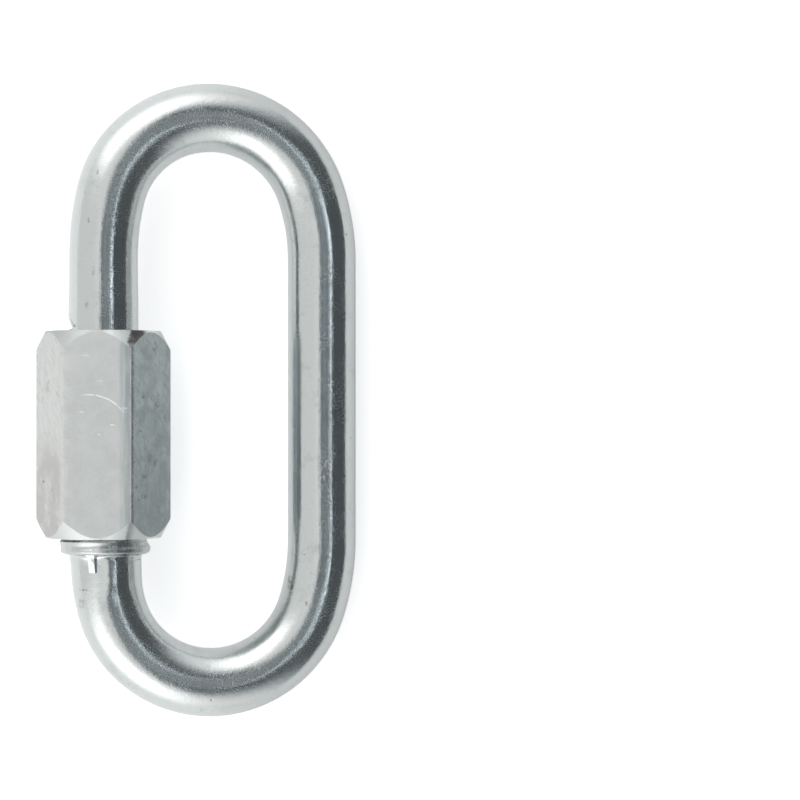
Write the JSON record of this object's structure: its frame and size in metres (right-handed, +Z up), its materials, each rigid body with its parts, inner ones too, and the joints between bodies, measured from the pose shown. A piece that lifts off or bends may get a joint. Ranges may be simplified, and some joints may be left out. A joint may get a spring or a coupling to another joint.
{
  "type": "chain quick link",
  "caption": "Long oval link bent from round zinc-plated steel bar, with a side gate that a long hexagonal sleeve nut screws over to join chain.",
  "frame": {"origin": "centre of the bounding box's base, on the table the link lies on", "axes": "+Y along the eye and the nut's axis, the way the nut moves to open the gate; +Z up from the table; the nut is on the -X side"},
  "size_m": [0.0372, 0.074, 0.0136],
  "materials": {
    "bar_zinc": "bright zinc plate over drawn bar, finely speckled",
    "nut_zinc": "satin zinc plate with fine pits and scratches"
  },
  "bodies": {
    "link": {"link_body": "bar_zinc"},
    "nut": {"hex_nut": "nut_zinc"}
  },
  "joints": [
    {"name": "nut_travel", "type": "slide", "parent": "link", "child": "nut", "axis": [0, 1, 0], "range_m": [0, 0.01375]}
  ]
}
